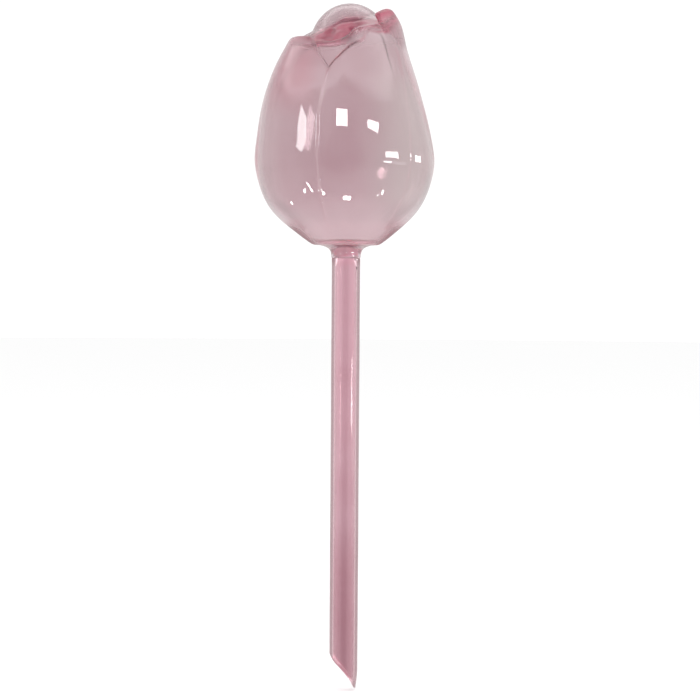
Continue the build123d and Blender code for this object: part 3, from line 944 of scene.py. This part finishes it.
walls = steps(sep.outputs["Y"], -1.0, 1.0, [(-1.0, 0.36), (-0.8, 1.05), (-0.3, 1.6), (0.3, 1.65), (0.7, 1.25), (1.0, 0.95)])
lean = []
for k in (-0.28, 0.2):  # the ceiling comes lower on the left than on the right
    side_x = wn.nodes.new("ShaderNodeMath")
    side_x.operation = "MULTIPLY"
    side_x.inputs[1].default_value = k
    wn.links.new(sep.outputs["X"], side_x.inputs[0])
    lean.append(side_x.outputs[0])
most = wn.nodes.new("ShaderNodeMath")
most.operation = "MAXIMUM"
wn.links.new(lean[0], most.inputs[0])
wn.links.new(lean[1], most.inputs[1])
lift = wn.nodes.new("ShaderNodeMath")
wn.links.new(most.outputs[0], lift.inputs[0])
wn.links.new(sep.outputs["Z"], lift.inputs[1])
ceiling = steps(lift.outputs[0], -1.0, 1.2, [(0.63, 0.0), (0.73, 1.0), (0.80, 0.75), (0.9, 0.3), (1.0, 0.2)])
both = wn.nodes.new("ShaderNodeMath")
both.operation = "MULTIPLY_ADD"
both.inputs[1].default_value = 2.0
wn.links.new(ceiling, both.inputs[0])
wn.links.new(walls, both.inputs[2])
below = steps(sep.outputs["Z"], -1.0, 1.0, [(-0.95, 1.4), (-0.6, 0.5), (-0.1, 0.0)])
sum_up = wn.nodes.new("ShaderNodeMath")
wn.links.new(both.outputs[0], sum_up.inputs[0])
wn.links.new(below, sum_up.inputs[1])
wn.links.new(sum_up.outputs[0], grey.inputs["Strength"])
# what is seen through the plastic: a pale backdrop that falls off a little low down
seen = wn.nodes.new("ShaderNodeBackground")
seen.inputs["Color"].default_value = (1, 1, 1, 1)
drop_off = steps(sep.outputs["Z"], -1.0, 1.0, [(-1.0, 0.72), (-0.6, 0.72), (-0.3, 0.68), (-0.15, 0.53), (-0.127, 0.54), (-0.085, 0.74), (-0.06, 0.79)])
front_room = steps(sep.outputs["Y"], -1.0, 1.0, [(-1.0, 0.86), (-0.2, 0.88), (0.35, 1.0)])
dim = wn.nodes.new("ShaderNodeMath")
dim.operation = "MULTIPLY"
wn.links.new(drop_off, dim.inputs[0])
wn.links.new(front_room, dim.inputs[1])
off_axis = wn.nodes.new("ShaderNodeMath")
off_axis.operation = "ABSOLUTE"
wn.links.new(sep.outputs["X"], off_axis.inputs[0])
edges = steps(off_axis.outputs[0], 0.0, 1.0, [(0.0, 1.0), (0.42, 0.985), (0.71, 0.79), (1.0, 0.79)])
dimmer = wn.nodes.new("ShaderNodeMath")
dimmer.operation = "MULTIPLY"
wn.links.new(dim.outputs[0], dimmer.inputs[0])
wn.links.new(edges, dimmer.inputs[1])
wn.links.new(dimmer.outputs[0], seen.inputs["Strength"])
lp = wn.nodes.new("ShaderNodeLightPath")
mix = wn.nodes.new("ShaderNodeMixShader")
wn.links.new(white.outputs[0], mix.inputs[1])
wn.links.new(grey.outputs[0], mix.inputs[2])
through = wn.nodes.new("ShaderNodeMixShader")
clear_path = wn.nodes.new("ShaderNodeMath")  # the seal behind the clear neck is lit by the white room
clear_path.operation = "LESS_THAN"
clear_path.inputs[1].default_value = 0.5
wn.links.new(lp.outputs["Diffuse Depth"], clear_path.inputs[0])
seen_now = wn.nodes.new("ShaderNodeMath")
seen_now.operation = "MULTIPLY"
wn.links.new(lp.outputs["Is Transmission Ray"], seen_now.inputs[0])
wn.links.new(clear_path.outputs[0], seen_now.inputs[1])
glossy_now = wn.nodes.new("ShaderNodeMath")
glossy_now.operation = "MULTIPLY"
wn.links.new(lp.outputs["Is Glossy Ray"], glossy_now.inputs[0])
wn.links.new(clear_path.outputs[0], glossy_now.inputs[1])
wn.links.new(glossy_now.outputs[0], mix.inputs[0])
wn.links.new(seen_now.outputs[0], through.inputs[0])
wn.links.new(mix.outputs[0], through.inputs[1])
wn.links.new(seen.outputs[0], through.inputs[2])
wn.links.new(through.outputs[0], wo.inputs["Surface"])


def softbox(name, az, el, dist, w_m, h_m, radiance, target=(0, 0, 0.045), roll=0.0):
    """Rectangular soft light at a bearing (0 is the front, right is positive) and an elevation."""
    a, e = math.radians(az), math.radians(el)
    d = Vector((math.sin(a) * math.cos(e), -math.cos(a) * math.cos(e), math.sin(e)))
    ld = bpy.data.lights.new(name, "AREA")
    ld.shape, ld.size, ld.size_y, ld.energy = "RECTANGLE", w_m, h_m, radiance * math.pi * w_m * h_m
    lo = bpy.data.objects.new(name, ld)
    lo.location = Vector(target) + d * dist
    lo.rotation_mode = "QUATERNION"
    lo.rotation_quaternion = d.to_track_quat("Z", "Y") @ Matrix.Rotation(math.radians(roll), 4, "Z").to_quaternion()
    sc.collection.objects.link(lo)
    lo.visible_camera = False
    return lo


softbox("window_left", -53, 17, 1.5, 0.27, 0.36, 11, roll=-24)
for lamp in (
    softbox("window_front", -4, 24, 1.5, 0.40, 0.22, 25),
    softbox("window_front_right", 38, 20, 1.5, 0.36, 0.10, 25, roll=-12),
    softbox("lamp_right", 62, 2, 1.5, 0.50, 0.17, 18),
    softbox("lamp_right_low", 55, -7, 1.5, 0.30, 0.06, 16),
    softbox("lamp_back_right", 106, 2, 1.5, 0.35, 0.18, 16),
    softbox("strip_low_right", 70, -4, 1.5, 0.6, 0.10, 1.2, target=(0, 0, -0.035)),
):
    lamp.visible_transmission = False

# camera: the photo's frame, straight on to the stem
S = 0.3496  # millimetres for each pixel of the 700 pixel frame
DIST, ELEV = 0.95, 2.0
aim = Vector(((350 - 345.4) * S * MM, 0.0, (258 - 350) * S * MM))
cd = bpy.data.cameras.new("camera")
cam = bpy.data.objects.new("camera", cd)
sc.collection.objects.link(cam)
cd.sensor_width = 36.0
cd.lens = 36.0 * DIST / (700 * S * MM)
back = Vector((0, -math.cos(math.radians(ELEV)), math.sin(math.radians(ELEV))))
cam.location = aim + back * DIST
cam.rotation_mode = "QUATERNION"
cam.rotation_quaternion = back.to_track_quat("Z", "Y") @ Matrix.Rotation(math.radians(0.38), 4, "Z").to_quaternion()
cd.clip_start, cd.clip_end = 0.01, 20
sc.camera = cam


def glint(name, x, z, w_m, h_m, radiance=10, dist=0.12, roll=0.0):
    """Small light low in front that shows as a spot on the bulb at x, z in millimetres."""
    y = np.linspace(-33.0, -5.0, 1401)
    line = np.stack([np.full_like(y, x), y, np.full_like(y, z)], 1)
    spot = line[int(np.argmax(skin(line) < 0))]
    face = gradient(skin, spot[None])[0]
    face = Vector((face / np.linalg.norm(face)).tolist())
    point = Vector((spot * MM).tolist())
    eye = (cam.location - point).normalized()
    way = 2.0 * face.dot(eye) * face - eye
    lo = softbox(name, math.degrees(math.atan2(way.x, -way.y)), math.degrees(math.asin(way.z)), dist, w_m, h_m, radiance, target=point, roll=roll)
    lo.data.spread = math.radians(60)
    lo.visible_transmission = False
    lo.visible_diffuse = False


glint("glint_low", 0.2, 20.3, 0.021, 0.0125)
glint("glint_low_left", -7.6, 21.6, 0.0085, 0.008)
glint("glint_left_a", -14.2, 22.7, 0.0024, 0.015, roll=-35)
glint("glint_left_b", -12.4, 23.8, 0.0024, 0.024, roll=17)
glint("glint_far_left", -18.7, 18.7, 0.0022, 0.009, roll=-35)
glint("glint_right_a", 10.7, 21.6, 0.0035, 0.006)
glint("glint_right_b", 12.3, 22.3, 0.0028, 0.012, roll=10)
sc.view_settings.view_transform = "Standard"
sc.view_settings.look = "None"
sc.cycles.max_bounces = 48
sc.cycles.transmission_bounces = 48
sc.cycles.glossy_bounces = 48
sc.cycles.caustics_refractive = True
sc.cycles.caustics_reflective = True

lo_v, hi_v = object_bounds()
print("boxes, m: cad", list(cad_lo), list(cad_hi), "visual", list(lo_v), list(hi_v))
